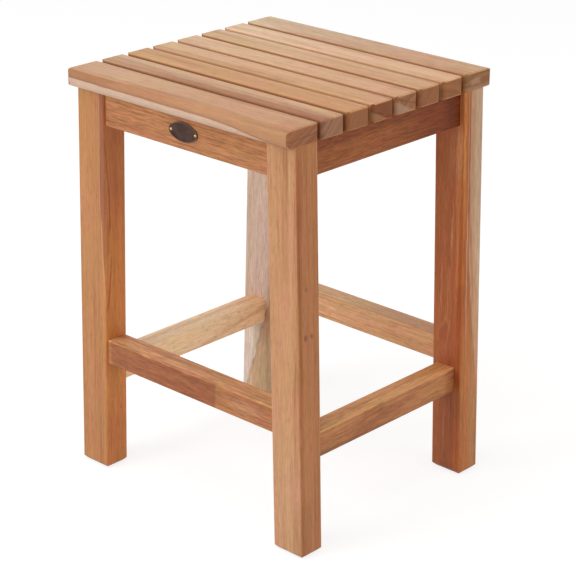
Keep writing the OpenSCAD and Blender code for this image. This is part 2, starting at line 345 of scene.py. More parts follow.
def world(**ranges):
    # the space between two values on each axis named, as the planes that close it
    planes = []
    for axis, (low, high, soft) in ranges.items():
        normal = [1.0 if axis == name else 0.0 for name in "xyz"]
        if low is not None:
            planes.append((tuple(normal), low, soft))
        if high is not None:
            planes.append((tuple(-n for n in normal), -high, soft))
    return planes


def beyond(start, normal, soft):
    # the space on the far side of a plane through a point
    normal = Vector(normal).normalized()
    return (tuple(normal), normal.dot(Vector(start)), soft)


def leaning(side, x, z, soft, toward=1):
    # the space beyond a plane that leans with a leg, through x at the height z
    return beyond((x, 0, z), (toward, 0, toward * side * math.tan(lean)), soft)


def stain(colour, within, amount=1.0, wavy=2.0, how="MIX", **more):
    # a mark of its own colour between planes; its outline wanders by "wavy" millimetres
    return {"colour": colour, "within": within, "amount": amount, "wavy": wavy, "how": how, **more}


def tinge(colour, within, **more):
    # a mark that multiplies the colour under it, only along some streaks where "through" is given
    return stain(colour, within, how="MULTIPLY", **more)


def spot(colour, at, squeeze, size, core=0.4, **more):
    # a round mark about a point, drawn out where "squeeze" is low, full inside the part "core" of its size
    return stain(colour, [], at=at, squeeze=squeeze, size=size, core=core, **more)


# the eight slats from front to back
slatStarts = [-154.5, -107.0, -70.5, -34.0, 2.5, 39.0, 75.5, 112.0]
slatEnds = [-112.0, -75.5, -39.0, -2.5, 34.0, 70.5, 107.0, 154.5]
slatWood = [
    {"wood": (0.584, 0.306, 0.158), "pith": (60.0, -95.0), "ring": 5.0, "seed": 1,
     "endTint": (0.897, 0.861, 0.837)},
    {"wood": (0.567, 0.310, 0.160), "pith": (-55.0, 50.0), "ring": 4.0, "seed": 2,
     "endTint": (0.922, 1.056, 1.297)},
    {"wood": (0.589, 0.288, 0.118), "pith": (-160.0, 30.0), "ring": 5.0, "endFigure": 0.35, "seed": 3,
     "endTint": (0.845, 0.878, 0.929)},
    {"wood": (0.666, 0.369, 0.187), "pith": (-70.0, -60.0), "ring": 5.0, "seed": 4, "gapShade": 0.55,
     "endTint": (0.591, 0.257, 0.010)},
    {"wood": (0.689, 0.392, 0.216), "pith": (30.0, -45.0), "ring": 4.5, "seed": 5, "gapShade": 0.75,
     "endTint": (0.750, 0.748, 0.639)},
    {"wood": (0.654, 0.372, 0.193), "pith": (120.0, -80.0), "ring": 5.0, "endFigure": 0.45, "seed": 6,
     "endTint": (0.766, 0.675, 0.576)},
    {"wood": (0.775, 0.473, 0.279), "pith": (-20.0, -70.0), "ring": 5.5, "endFigure": 0.50, "seed": 7,
     "gapShade": 0.60, "endTint": (0.656, 0.562, 0.402)},
    {"wood": (0.628, 0.382, 0.224), "pith": (5.0, -50.0), "ring": 5.0, "seed": 8, "dash": 0.9,
     "endTint": (0.729, 0.743, 0.571)},
]


def sapStripe(rise, soft):
    # under a line that falls, ever more steeply, to the lower edge of the front slat's front face
    line = [((-25.0, 446.9), -0.006), ((50.0, 446.3), -0.05), ((90.0, 443.5), -0.13)]
    planes = [beyond((x, 0, z + rise), (slope, 0, -1), soft) for (x, z), slope in line]
    return planes + world(y=(None, -147.0, 1.5))


# marks on the slats by their numbers, first on the long faces and then on the end grain
slatMarks = {
    1: [
        # the orange front face and the band that it draws over the edge, a darker front margin with a dark
        # band edge behind it, a deeper right end, and on the front face a pale stripe with a dark upper edge
        stain((0.388, 0.177, 0.074), world(y=(None, -150.8, 0.8)), amount=0.85, wavy=0.5),
        stain((0.50, 0.25, 0.12),
              [beyond((-81.0, -152.5, 0), (0.14, -1, 0), 1.2),
               beyond((15.0, -140.0, 0), (-0.09, -1, 0), 1.2), beyond((0, -141.5, 0), (0, -1, 0), 1.2)],
              amount=0.85, wavy=3.0),
        tinge((0.90, 0.82, 0.82), world(x=(None, 0.0, 40.0), y=(None, -146.0, 1.5)), amount=0.85, wavy=3.0),
        tinge((0.86, 0.78, 0.76), world(x=(-115.0, 25.0, 15.0), y=(-148.3, -145.6, 0.7)), amount=0.8,
              wavy=5.0),
        tinge((0.92, 0.88, 0.84), world(x=(132.0, None, 6.0), y=(-150.0, None, 1.0)), amount=0.9, wavy=4.0),
        tinge((0.97, 0.91, 0.87), world(x=(132.0, None, 6.0), y=(-150.0, -133.0, 2.0)), amount=0.9,
              wavy=4.0),
        stain((0.30, 0.15, 0.08), sapStripe(2.4, 0.6), amount=0.45, wavy=0.5),
        stain((0.66, 0.46, 0.34), sapStripe(0.2, 0.4), amount=0.92, wavy=0.5),
        stain((0.34, 0.18, 0.09), world(x=(95.0, None, 15.0), z=(453.4, 455.6, 0.5), y=(None, -149.5, 0.8)),
              amount=0.5, wavy=0.6),
    ],
    2: [
        # a mauve front half with a browner band along the gap, and a paler back
        tinge((0.84, 0.68, 0.62), world(y=(None, -97.0, 3.0)), amount=0.7, wavy=4.0),
        tinge((0.76, 0.66, 0.60), world(x=(-70.0, None, 40.0), y=(None, -97.0, 2.5)), amount=0.9, wavy=6.0),
        tinge((0.88, 0.80, 0.78), world(x=(45.0, None, 25.0), y=(-100.0, -92.5, 2.0)), amount=0.7, wavy=5.0),
        tinge((0.96, 0.80, 0.76), world(x=(120.0, None, 20.0), y=(None, -101.0, 1.5)), amount=0.75,
              wavy=3.0),
        tinge((0.87, 0.84, 0.84), world(x=(None, -110.0, 15.0), y=(-92.5, -86.5, 1.5)), amount=0.8,
              wavy=4.0),
        tinge((1.09, 1.13, 1.15), world(y=(-88.0, None, 3.0)), amount=0.9, wavy=6.0),
        tinge((1.12, 1.16, 1.18), world(x=(85.0, 133.0, 12.0), y=(-88.0, None, 2.0)), amount=0.9, wavy=5.0),
    ],
    3: [
        # a paler strip along the back, and a faint dark one along the middle
        tinge((1.12, 1.14, 1.14), world(x=(-110.0, None, 20.0), y=(-46.5, None, 2.5)), wavy=5.0),
        tinge((0.96, 0.93, 0.91), world(x=(0.0, 90.0, 30.0), y=(-62.5, -53.0, 2.0)), wavy=5.0),
    ],
    4: [
        # a darker front and a darker back right, with paler strips between them
        tinge((0.88, 0.86, 0.84), world(x=(None, 55.0, 20.0), y=(None, -27.5, 2.0)), wavy=4.0),
        tinge((1.08, 1.10, 1.10), world(x=(-70.0, None, 20.0), y=(-26.5, -19.5, 2.0)), wavy=5.0),
        tinge((0.89, 0.88, 0.84), world(x=(80.0, None, 20.0), y=(-16.5, None, 2.0)), wavy=5.0),
        tinge((0.86, 0.80, 0.76), world(x=(130.0, None, 6.0), y=(-9.5, None, 2.0)), wavy=3.0),
        tinge((1.08, 1.09, 1.11), world(x=(None, 45.0, 20.0), y=(-9.5, None, 2.0)), wavy=5.0),
    ],
    5: [
        # a dark strip near the front, a paler back, a dark front left corner and a browner right end
        tinge((0.91, 0.91, 0.88), world(x=(-60.0, None, 20.0), y=(9.5, 15.5, 2.0)), wavy=5.0),
        tinge((1.12, 1.13, 1.14), world(x=(None, 128.0, 12.0), y=(24.0, None, 3.0)), wavy=5.0),
        tinge((0.86, 0.86, 0.88), world(x=(None, -110.0, 15.0), y=(None, 12.0, 3.0)), wavy=3.0),
        tinge((0.94, 0.92, 0.86), world(x=(132.0, None, 8.0)), wavy=3.0),
    ],
    6: [
        # a browner left third, paler along its back, and a browner right end
        tinge((0.94, 0.93, 0.90), world(x=(None, -60.0, 40.0))),
        tinge((1.05, 1.12, 1.18), world(x=(None, 0.0, 40.0), y=(62.5, None, 2.5)), wavy=5.0),
        tinge((0.96, 0.90, 0.84), world(x=(132.0, None, 8.0), y=(62.5, None, 2.5)), wavy=3.0),
    ],
    7: [
        # a darker front on the right and a paler strip on the left, with a browner right end
        tinge((0.90, 0.88, 0.88), world(x=(-10.0, None, 50.0), y=(None, 83.0, 2.0)), wavy=4.0),
        tinge((1.05, 1.11, 1.13), world(x=(None, -5.0, 30.0), y=(83.0, 94.0, 2.0)), wavy=5.0),
        tinge((0.97, 0.92, 0.85), world(x=(130.0, None, 10.0)), wavy=3.0),
    ],
    8: [
        # paler at the left, browner along the gap and at the right, with a pale streak
        tinge((1.03, 1.11, 1.10), world(x=(None, -105.0, 35.0))),
        tinge((0.91, 0.82, 0.75), world(x=(-110.0, None, 25.0), y=(None, 121.0, 2.5)), amount=0.9, wavy=4.0),
        tinge((1.11, 1.07, 1.01), world(x=(20.0, None, 30.0), y=(123.0, 129.0, 2.0)), amount=0.8, wavy=5.0),
        tinge((0.92, 0.84, 0.78), world(x=(128.0, None, 8.0), y=(None, 129.0, 3.0)), amount=0.9, wavy=4.0),
        tinge((0.98, 0.94, 0.90), world(x=(60.0, None, 40.0))),
    ],
}
slatEndMarks = {
    1: [
        # a thin dark line that tapers
        stain((0.15, 0.06, 0.04),
              [beyond((0, -135.0, 447.0), (0, 0.06, -1), 0.3),
               beyond((0, -135.0, 445.9), (0, -0.06, 1), 0.3)], amount=0.6, wavy=0.8),
    ],
    4: [
        # dark, browner in the lower front half, with a thin dark line
        stain((0.22, 0.075, 0.026), world(z=(441.0, None, 1.0)), amount=0.75, wavy=1.0),
        stain((0.38, 0.19, 0.085), [beyond((0, -30.0, 446.6), (0, -0.46, -1), 0.7)], amount=0.6, wavy=0.8),
        stain((0.10, 0.03, 0.015),
              [beyond((0, -28.0, 448.2), (0, -0.35, -1), 0.3),
               beyond((0, -28.0, 447.0), (0, 0.35, 1), 0.3)]
              + world(y=(-28.5, -18.0, 1.0)), amount=0.8, wavy=0.5),
    ],
    5: [
        # a small knot with a dark line from it, and a paler lower front corner
        spot((0.16, 0.06, 0.03), (157.0, 9.5, 452.3), (1.0, 1.0, 1.3), 4.0, amount=0.7),
        stain((0.17, 0.07, 0.035),
              [beyond((0, 9.0, 451.5), (0, 0.33, 1), 0.3), beyond((0, 9.0, 452.8), (0, -0.33, -1), 0.3)],
              amount=0.65, wavy=0.8),
        stain((0.46, 0.29, 0.20), [beyond((0, 4.0, 450.0), (0, -0.5, -1), 1.5)], amount=0.6, wavy=1.0),
    ],
    8: [
        # a paler patch, an orange knot and a paler lower edge
        stain((0.48, 0.27, 0.18), world(y=(120.0, 136.0, 3.0), z=(444.0, 450.0, 1.5)), amount=0.6),
        spot((0.30, 0.11, 0.035), (157.0, 140.0, 447.0), (1.0, 0.6, 1.2), 5.0, amount=0.6),
        stain((0.42, 0.22, 0.15), world(z=(None, 442.0, 1.0)), amount=0.5, wavy=1.0),
    ],
}


def slatBoard(number):
    low, high = slatStarts[number], slatEnds[number]
    last = len(slatStarts) - 1
    gapSides = [side for side, inGap in ((-1, number > 0), (1, number < last)) if inGap]
    # every top is a little cooler and paler towards its left end: a painted reflection, stronger there
    leftSheen = tinge((1.04, 1.15, 1.24), world(x=(None, -20.0, 130.0)))
    return {"grain": "across", "centre": (0.0, (low + high) / 2, seatUnder + slatThickness / 2),
            "size": (slatLength, high - low, slatThickness), "gapSides": gapSides, "corner": 3.5,
            "growth": 0.55, "broad": 0.85, "streak": 0.65, "late": 0.2, "flecks": 0.4,
            "marks": [leftSheen] + slatMarks[number + 1], "endMarks": slatEndMarks.get(number + 1, []),
            **slatWood[number]}


def legBoard(side, y, **more):
    # the middle of a leg, half way up its length
    half = seatUnder / 2
    middle = (legTop - legWidth / 2 * math.cos(lean) + half * math.tan(lean)) * side
    return {"grain": "up", "centre": (middle, y, half), "size": (seatUnder, legWidth, legDepth),
            "side": side, "streak": 0.95, "pores": 0.5, "flecks": 0.35, **more}


railGrain = {"streak": 1.1, "pores": 0.5, "flecks": 0.5, "late": 0.3, "dash": 0.95}


def crossBoard(y, z, height, **more):
    return {"grain": "across", "centre": (0.0, y, z), "size": (railLength, railThickness, height),
            **railGrain, **more}


def sideBoard(side, setBack, z, height, **more):
    # a rail that leans with the legs, set back from their outer faces
    middle = legTop + (seatUnder - z) * math.tan(lean) - setBack - railThickness / 2
    return {"grain": "back", "centre": (middle * side, sideMiddle, z),
            "size": (railLength, railThickness, height), "side": side, **railGrain, **more}


# marks on the legs and rails by their names
frameMarks = {
    "leg_front_left": [
        # a pale line up the front face, then a mauve strip to the arris
        tinge((1.18, 1.24, 1.50),
              [leaning(-1, -123.4, 425.0, 0.5), beyond((-125.8, 0, 300.0), (1, 0, 0.030), 0.5)]
              + world(y=(None, -140.8, 0.6), z=(175.0, None, 20.0)), amount=0.8, wavy=1.0),
        tinge((0.62, 0.50, 0.52),
              [leaning(-1, -121.4, 425.0, 0.6), beyond((-123.8, 0, 300.0), (1, 0, 0.030), 0.6)]
              + world(y=(None, -140.8, 0.6), z=(185.0, None, 20.0)), amount=0.9, wavy=1.2),
        # the inner face: darker above, greyer beside the strip, with dark wavy streaks, a slanting dark line
        # lower down, and painted light below the stretchers, where their shadow falls
        tinge((0.90, 0.86, 0.94), world(x=(-125.0, None, 2.0), z=(305.0, None, 40.0))),
        tinge((1.05, 1.08, 1.05), world(x=(-125.0, None, 2.0), z=(None, 275.0, 40.0))),
        tinge((0.97, 1.05, 1.30),
              [beyond((0, -135.3, 328.0), (0, -1, -0.105), 1.0)]
              + world(y=(-141.0, -134.4, 1.0), z=(215.0, None, 25.0)), amount=0.7, wavy=1.5),
        tinge((0.66, 0.54, 0.44),
              [beyond((0, -136.1, 328.0), (0, 1, 0.105), 0.4),
               beyond((0, -134.7, 328.0), (0, -1, -0.105), 0.4)]
              + world(y=(-140.8, None, 0.6), z=(318.0, None, 8.0)), amount=0.9),
        tinge((0.62, 0.48, 0.38),
              world(y=(-136.0, -134.0, 0.5), z=(285.0, 330.0, 8.0), x=(-127.0, None, 1.0)), amount=0.9,
              wavy=2.5),
        tinge((0.78, 0.66, 0.58),
              world(y=(-139.0, -135.0, 1.2), z=(255.0, 295.0, 12.0), x=(-127.0, None, 1.0)), amount=0.7,
              wavy=5.0),
        tinge((0.58, 0.44, 0.36),
              [beyond((0, -134.2, 238.0), (0, 1, -0.1), 0.4),
               beyond((0, -132.8, 238.0), (0, -1, 0.1), 0.4)]
              + world(z=(192.0, 248.0, 8.0), x=(-127.0, None, 1.0)), amount=0.9, wavy=2.5),
        # painted light where the stretchers' shadow falls
        tinge((1.12, 1.20, 1.22), world(x=(-125.0, None, 2.0), z=(60.0, 112.0, 10.0))),
    ],
    "leg_front_right": [
        # the right face: a dark strip beside the arris and a painted highlight along the far arris; the
        # front
        # face: a darker strip under the seat and a paler one beside the arris; the right face darker at both
        # ends
        tinge((0.84, 0.70, 0.58),
              world(y=(-140.8, -136.5, 1.0), z=(None, 400.0, 40.0), x=(154.0, None, 0.5)), amount=0.7,
              wavy=3.0),
        # painted highlight along the back arris of the right face
        stain((0.62, 0.38, 0.24), world(y=(-113.5, None, 0.8), z=(330.0, None, 40.0)), amount=0.7, wavy=0.8),
        tinge((0.87, 0.81, 0.77),
              [leaning(1, 137.0, 360.0, 1.2), leaning(1, 144.5, 360.0, 1.2, -1)]
              + world(z=(300.0, None, 30.0), y=(None, -140.5, 0.6)), amount=0.9),
        tinge((1.08, 1.13, 1.17),
              [leaning(1, 147.5, 300.0, 1.0), leaning(1, 151.0, 300.0, 1.0, -1)]
              + world(z=(90.0, None, 30.0), y=(None, -140.5, 0.6)), amount=0.8),
        tinge((0.90, 0.80, 0.74), world(y=(None, -134.0, 1.5), z=(355.0, None, 15.0), x=(154.0, None, 0.5)),
              amount=0.9),
        tinge((0.88, 0.81, 0.80), world(y=(None, -127.0, 2.0), z=(None, 60.0, 15.0), x=(154.0, None, 0.5)),
              amount=0.9),
        # two small knots with a fainter third above them, and everything paler towards the foot
        spot((0.16, 0.06, 0.03), (160.5, -132.0, 241.8), (1.0, 1.0, 0.7), 3.4, amount=0.75),
        spot((0.16, 0.06, 0.03), (160.5, -123.4, 241.2), (1.0, 1.0, 0.7), 3.0, amount=0.7),
        spot((0.16, 0.06, 0.03), (159.1, -131.1, 291.8), (1.0, 1.0, 0.7), 2.6, amount=0.5),
        tinge((1.05, 1.14, 1.26), world(z=(None, 120.0, 60.0)), amount=0.8),
    ],
    "leg_back_left": [
        # sapwood, with the heart of the board showing tan below a slanting growth line
        tinge((1.12, 1.28, 1.32), world(z=(None, 95.0, 30.0))),
        tinge((0.82, 0.64, 0.42), [beyond((-130.0, 0, 105.0), (0.96, 0, -0.28), 1.2)], amount=0.9, wavy=7.0),
        tinge((0.70, 0.52, 0.42),
              [beyond((-131.5, 0, 105.0), (0.96, 0, -0.28), 0.6),
               beyond((-128.8, 0, 105.0), (-0.96, 0, 0.28), 0.6)]
              + world(z=(None, 140.0, 20.0)), amount=0.6, wavy=7.0),
    ],
    "leg_back_right": [
        # the front face: paler above and darker below, dark at its left edge, a paler patch under the apron,
        # wavy pale lines, a pale ring round a dark eye, paler beside the right arris, darker in the middle
        tinge((1.13, 1.12, 1.08), world(y=(None, 117.0, 1.0), z=(300.0, None, 50.0))),
        tinge((0.88, 0.87, 0.92), world(y=(None, 117.0, 1.0), z=(None, 130.0, 40.0))),
        tinge((0.86, 0.74, 0.66), world(x=(None, 126.0, 3.0), y=(None, 117.0, 1.0)), amount=0.5, wavy=4.0),
        tinge((1.22, 1.60, 2.10), world(x=(137.0, None, 2.0), y=(None, 116.0, 1.0), z=(345.0, 392.0, 8.0)),
              amount=0.6, wavy=3.0),
        tinge((1.30, 1.75, 2.20),
              world(x=(132.0, 150.0, 3.0), y=(None, 116.0, 1.0), z=(180.0, 345.0, 20.0)),
              through=(0.55, 0.63), amount=0.8, wavy=6.0),
        tinge((1.25, 1.60, 2.00),
              world(x=(144.2, 145.4, 0.5), y=(None, 116.0, 1.0), z=(190.0, 330.0, 20.0)), amount=0.7,
              wavy=7.0),
        tinge((1.30, 1.70, 2.10), world(x=(150.2, 151.4, 0.5), y=(None, 116.0, 1.0), z=(20.0, 105.0, 15.0)),
              amount=0.8, wavy=7.0),
        tinge((1.30, 1.75, 2.20), world(x=(134.0, 152.0, 3.0), y=(None, 116.0, 1.0), z=(15.0, 95.0, 12.0)),
              through=(0.55, 0.63), amount=0.6, wavy=6.0),
        spot((1.30, 1.80, 2.30), (137.0, 114.5, 166.0), (1.0, 0.3, 0.42), 8.6, core=0.66, how="MULTIPLY",
             amount=0.45, wavy=11.0),
        spot((0.72, 0.50, 0.40), (136.4, 114.5, 163.0), (1.0, 0.3, 0.42), 7.0, core=0.60, how="MULTIPLY",
             amount=0.8, wavy=11.0),
        tinge((1.22, 1.36, 1.36),
              [leaning(1, 148.5, 300.0, 1.5)] + world(y=(None, 116.0, 1.0), z=(215.0, None, 15.0)),
              amount=0.8, wavy=3.0),
        tinge((1.22, 1.36, 1.32),
              [leaning(1, 148.5, 300.0, 1.5)] + world(y=(None, 116.0, 1.0), z=(None, 108.0, 10.0)),
              amount=0.7, wavy=3.0),
        tinge((0.89, 0.84, 0.82),
              [leaning(1, 128.0, 300.0, 2.0), leaning(1, 145.0, 300.0, 2.0, -1)]
              + world(y=(None, 116.0, 1.0)), amount=0.8, wavy=4.0),
        # the right face: darker above, orange beside the arris, a thin pale line, then pink and olive
        # sapwood that narrow towards the foot, and darker streaks in them higher up
        tinge((0.93, 0.90, 0.86), world(x=(154.0, None, 1.0), z=(160.0, None, 60.0))),
        tinge((0.98, 0.86, 0.69), world(x=(154.0, None, 1.0), y=(None, 129.0, 2.0))),
        tinge((0.92, 1.02, 1.15), world(x=(154.0, None, 1.0), y=(129.0, None, 2.0), z=(None, 280.0, 60.0))),
        tinge((0.90, 0.72, 0.62), world(y=(None, 123.5, 1.5), x=(154.0, None, 1.0), z=(170.0, None, 40.0)),
              amount=0.8),
        stain((0.70, 0.40, 0.22), world(y=(120.6, 122.0, 0.4), x=(150.0, None, 1.0), z=(160.0, None, 30.0)),
              amount=0.6, wavy=1.6),
        stain((0.58, 0.33, 0.20),
              world(y=(124.0, None, 1.5), x=(140.0, None, 2.0))
              + [beyond((0, 124.0, 250.0), (0, 1, 0.12), 2.0)], amount=0.8),
        stain((0.60, 0.41, 0.27),
              world(y=(131.5, None, 1.5), x=(140.0, None, 2.0))
              + [beyond((0, 131.5, 300.0), (0, 1, 0.094), 2.0)], amount=0.85, wavy=2.5),
        tinge((0.78, 0.70, 0.58),
              [beyond((0, 124.2, 288.0), (0, 1, 0.08), 0.8),
               beyond((0, 127.8, 288.0), (0, -1, -0.08), 0.8)]
              + world(x=(154.0, None, 1.0), z=(208.0, 315.0, 12.0)), amount=0.9),
        tinge((0.82, 0.77, 0.70), world(x=(154.0, None, 1.0), y=(119.5, 124.0, 1.0), z=(310.0, None, 20.0)),
              amount=0.9),
        tinge((0.86, 0.84, 0.80), world(x=(150.0, None, 2.0), y=(122.0, None, 2.0), z=(290.0, None, 80.0))),
    ],
    "apron_front": [
        # at the left paler above and darker below, and a paler length at the lower right
        tinge((1.10, 1.19, 1.18), world(x=(None, -30.0, 12.0), z=(420.0, None, 2.0)), wavy=5.0),
        tinge((0.91, 0.88, 0.86), world(x=(None, -30.0, 12.0), z=(407.0, 413.0, 2.0)), wavy=5.0),
        tinge((1.08, 1.10, 1.17), world(x=(25.0, 90.0, 8.0), z=(406.0, 413.0, 2.0)), wavy=4.0),
    ],
    "apron_right": [
        # painted shade: ever darker towards the back and darkest by the back leg, dark under the seat where
        # its shadow falls; and a little paler along the lower edge
        tinge((0.78, 0.68, 0.66), world(y=(10.0, None, 60.0)), amount=0.9),
        tinge((0.80, 0.62, 0.46), world(y=(45.0, None, 45.0)), wavy=4.0),
        tinge((0.66, 0.60, 0.58), world(y=(92.0, None, 8.0)), amount=0.8, wavy=4.0),
        tinge((0.72, 0.62, 0.60), world(y=(None, 30.0, 40.0), z=(424.5, None, 3.0)), wavy=3.0),
        tinge((1.04, 1.13, 1.20), world(z=(None, 406.5, 3.0)), wavy=3.0),
    ],
    "stretcher_front": [
        # a dark reddish length, paler at the left, that ends short of the right leg; a light swirl beside it
        tinge((1.05, 1.10, 1.12), world(x=(None, -45.0, 15.0), y=(None, -136.5, 1.5))),
        tinge((0.74, 0.60, 0.56), world(x=(-118.0, 41.0, 1.5), y=(None, -136.5, 1.5)), amount=0.95,
              wavy=5.0),
        spot((0.58, 0.30, 0.16), (84.0, -139.0, 142.0), (0.35, 0.5, 1.0), 11.0, amount=0.4, wavy=6.0),
    ],
    "stretcher_back": [
        # paler on the left and browner on the right, with dark and pale bands along it
        tinge((1.12, 1.17, 1.16), world(x=(None, 5.0, 40.0))),
        tinge((0.90, 0.83, 0.83), world(x=(35.0, None, 40.0))),
        tinge((0.89, 0.86, 0.82), world(x=(-60.0, None, 20.0), z=(146.5, 151.5, 1.5)), wavy=4.0),
        tinge((1.10, 1.12, 1.13), world(x=(-60.0, 50.0, 12.0), z=(134.0, 140.0, 2.0)), wavy=4.0),
        tinge((0.95, 0.90, 0.89), world(x=(52.0, None, 10.0), z=(134.0, 146.0, 2.0)), wavy=4.0),
    ],
    "stretcher_left": [
        # browner towards the back, with a brown band that widens
        tinge((0.94, 0.84, 0.76), world(y=(62.0, None, 40.0)), wavy=3.0),
        tinge((0.86, 0.76, 0.66),
              [beyond((0, 60.0, 112.0), (0, 0.17, -1), 2.0), beyond((0, 60.0, 106.0), (0, -0.17, 1), 2.0)],
              amount=0.8, wavy=5.0),
    ],
    "stretcher_right": [
        # a dark back end, brown bands, and paler at the top of the front and low at the back
        tinge((0.76, 0.66, 0.62), world(y=(100.0, None, 5.0), z=(None, 126.0, 1.0)), amount=0.8, wavy=4.0),
        tinge((0.80, 0.70, 0.62),
              [beyond((0, 20.0, 119.0), (0, 0.10, -1), 1.5), beyond((0, 20.0, 111.0), (0, -0.16, 1), 1.5)]
              + world(y=(-55.0, 80.0, 15.0)), amount=0.7, wavy=6.0),
        tinge((0.74, 0.76, 0.78), world(y=(None, 5.0, 20.0), z=(None, 104.0, 2.0)), wavy=4.0),
        tinge((0.82, 0.74, 0.64), world(y=(-37.0, -3.0, 4.0), z=(116.0, 125.5, 1.5)), amount=0.9, wavy=5.0),
        tinge((1.08, 1.12, 1.16), world(y=(None, -42.0, 8.0), z=(121.5, None, 1.5)), wavy=4.0),
        tinge((1.08, 1.12, 1.12), world(y=(32.0, None, 10.0), z=(103.0, 121.0, 2.0)), wavy=4.0),
    ],
}

boards = {f"slat_{n + 1}": slatBoard(n) for n in range(len(slatStarts))}
boards.update({
    # the legs' right faces take a colour of their own: painted light and shade, and on the back right leg
    # also pale sapwood
    "leg_front_left": legBoard(
        -1, frontLegs, wood=(0.516, 0.227, 0.085), pith=(70.0, -40.0), ring=5.0, seed=11,
        rightFace=(1.159, 0.935, 0.669), growth=0.4),
    "leg_front_right": legBoard(
        1, frontLegs, wood=(0.576, 0.287, 0.142), pith=(-30.0, -90.0), ring=5.0, seed=12,
        rightFace=(0.772, 0.612, 0.419)),
    "leg_back_left": legBoard(
        -1, backLegs, wood=(0.666, 0.471, 0.384), pith=(60.0, 40.0), ring=5.0, seed=13, growth=0.4,
        streak=0.5, dash=0.9, dark=(0.82, 0.75, 0.70), blush=(1.0, 0.98, 1.0)),
    "leg_back_right": legBoard(
        1, backLegs, wood=(0.444, 0.132, 0.040), pith=(-50.0, 60.0), ring=5.0, seed=14, dash=0.8,
        rightFace=(1.131, 1.449, 1.420), pale=(1.15, 1.35, 1.5)),
    "apron_front": crossBoard(
        frontRails, apronAt, apronHeight, wood=(0.476, 0.197, 0.076), pith=(-60.0, -120.0), ring=4.5,
        seed=21, dash=1.4),
    "apron_back": crossBoard(
        backRails, apronAt, apronHeight, wood=(0.50, 0.25, 0.12), pith=(-60.0, 90.0), ring=5.0, seed=22),
    "apron_left": sideBoard(
        -1, apronSetBack, apronAt, apronHeight, wood=(0.48, 0.23, 0.11), pith=(70.0, -60.0), ring=5.0,
        seed=23),
    # this apron's own colour is darker and redder, partly painted shade under the seat
    "apron_right": sideBoard(
        1, apronSetBack, apronAt, apronHeight, wood=(0.326, 0.104, 0.033), pith=(90.0, -60.0), ring=5.0,
        seed=24, dash=1.5, specular=0.18),
    # its top face is paler: painted light where the seat keeps the lamps off it
    "stretcher_front": crossBoard(
        frontRails, crossAt, stretcherHeight, wood=(0.442, 0.171, 0.065), pith=(40.0, 50.0), ring=4.0,
        seed=25, dash=1.5, topFace=(1.461, 1.880, 2.129)),
    "stretcher_back": crossBoard(
        backRails, crossAt, stretcherHeight, wood=(0.803, 0.467, 0.244), pith=(60.0, -30.0), ring=5.0,
        seed=26, dash=0.7),
    # its top face takes a little painted light and shade
    "stretcher_left": sideBoard(
        -1, stretcherSetBack, sideAt, stretcherHeight, wood=(0.980, 0.719, 0.424), pith=(40.0, 40.0),
        ring=5.0, seed=27, dash=0.8, pale=(1.06, 1.10, 1.12), dark=(0.86, 0.78, 0.70),
        olive=(1.0, 0.98, 0.96), topFace=(0.947, 0.975, 1.042)),
    # its top face is paler: painted light where the seat keeps the lamps off it
    "stretcher_right": sideBoard(
        1, stretcherSetBack, sideAt, stretcherHeight, wood=(0.427, 0.167, 0.057), pith=(-30.0, -60.0),
        ring=4.5, seed=28, dash=1.2, topFace=(1.722, 2.250, 2.520)),
    "cleat_left": sideBoard(
        -1, cleatSetBack, cleatAt, cleatHeight, wood=(0.50, 0.25, 0.12), pith=(50.0, 40.0), ring=5.0,
        seed=29),
    "cleat_right": sideBoard(
        1, cleatSetBack, cleatAt, cleatHeight, wood=(0.50, 0.25, 0.12), pith=(-50.0, 60.0), ring=5.0,
        seed=30),
})
for name, marks in frameMarks.items():
    boards[name]["marks"] = marks


def dress(name, material):
    for slot in frame["nodes"][name].material_slots:
        slot.material = material


for name, board in boards.items():
    dress(name, teak(name, board))
print("teak on", len(boards), "boards")

# the oval plate: its colours, its half width and half height and the height of its middle in metres, and
# the parts of that oval at which the rim starts and is full, and how far it is rubbed bright
badgeLook = {
    "field": (0.090, 0.052, 0.043),
    "rim": (0.17, 0.12, 0.085),
    "across": 0.0201,
    "up": 0.0102,
    "height": 0.4185,
    "rimStarts": 0.90,
    "rimEnds": 0.94,
    "rubbed": 1.4,
}

# how often the clouds and brush lines of every metal change in a metre, how dull it is in the clouds, and
# the depth of its relief in metres
metalLook = {
    "clouds": (90, 90, 90),
    "lines": (400, 400, 5000),
    "dull": (0.6, 0.6, 0.6),
    "bumpDepth": 0.00002,
}


def metal(name, colour, roughness, scratch, rim=None):
    paint = Paint(bpy.data.materials.new(name))
    where = paint.node("ShaderNodeTexCoord").outputs["Object"]
    cloud = paint.noise(paint.stretched(where, metalLook["clouds"]))
    lines = paint.noise(paint.stretched(where, metalLook["lines"]), 2.0)
    shade = paint.mix(paint.smooth(cloud, 0.35, 0.7), colour, tinted(colour, metalLook["dull"]))
    if rim:
        # the rolled rim of an oval plate is rubbed brighter
        x, y, z = paint.split(where)
        acrossPart, upPart = x / rim["across"], (z - rim["height"]) / rim["up"]
        ring = paint.maths("SQRT", acrossPart * acrossPart + upPart * upPart)
        rubbed = paint.smooth(ring, rim["rimStarts"], rim["rimEnds"]) * cloud * rim["rubbed"]
        shade = paint.mix(rubbed, shade, rim["rim"])
    return paint.finish(shade, roughness + cloud * 0.15, lines * scratch + cloud, metalLook["bumpDepth"],
                        Metallic=1.0)


steel = metal("brushedSteel", (0.62, 0.62, 0.63), 0.28, 0.5)
for name in ("slat_screws", "apron_screws", "cleat_screws"):
    dress(name, steel)
dress("badge_pins", metal("dullBrass", (0.62, 0.43, 0.16), 0.3, 0.3))
dress("badge_plate", metal("darkBronze", badgeLook["field"], 0.45, 0.3, badgeLook))
print("metal on the screws, pins and badge")

